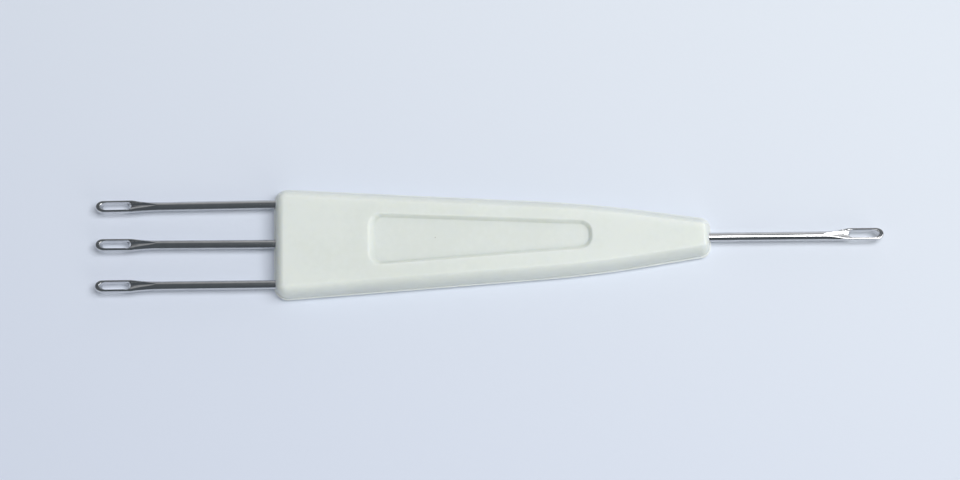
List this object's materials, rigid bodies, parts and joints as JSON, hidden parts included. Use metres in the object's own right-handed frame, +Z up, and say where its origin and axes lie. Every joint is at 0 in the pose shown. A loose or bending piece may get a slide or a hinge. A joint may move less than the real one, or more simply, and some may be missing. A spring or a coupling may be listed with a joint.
{
  "type": "knitting machine transfer tool",
  "caption": "Moulded tapered handle with a thumb recess, holding a row of eyelet prongs at its wide end and a single eyelet prong at its narrow end, for moving stitches between needles.",
  "frame": {"origin": "bottom centre of the box, on the table that the tool's flat back lies on", "axes": "+X along the handle towards the single prong, +Y across the row of prongs, +Z up out of the face with the thumb recess"},
  "size_m": [0.088, 0.0126, 0.0035],
  "materials": {
    "handle_plastic": "moulded ivory plastic with a fine satin surface",
    "prong_steel": "drawn steel wire, bright nickel plate"
  },
  "bodies": {
    "root": {"handle": "handle_plastic", "triple_prong_far": "prong_steel", "triple_prong_middle": "prong_steel", "triple_prong_near": "prong_steel", "single_prong": "prong_steel"}
  },
  "joints": []
}
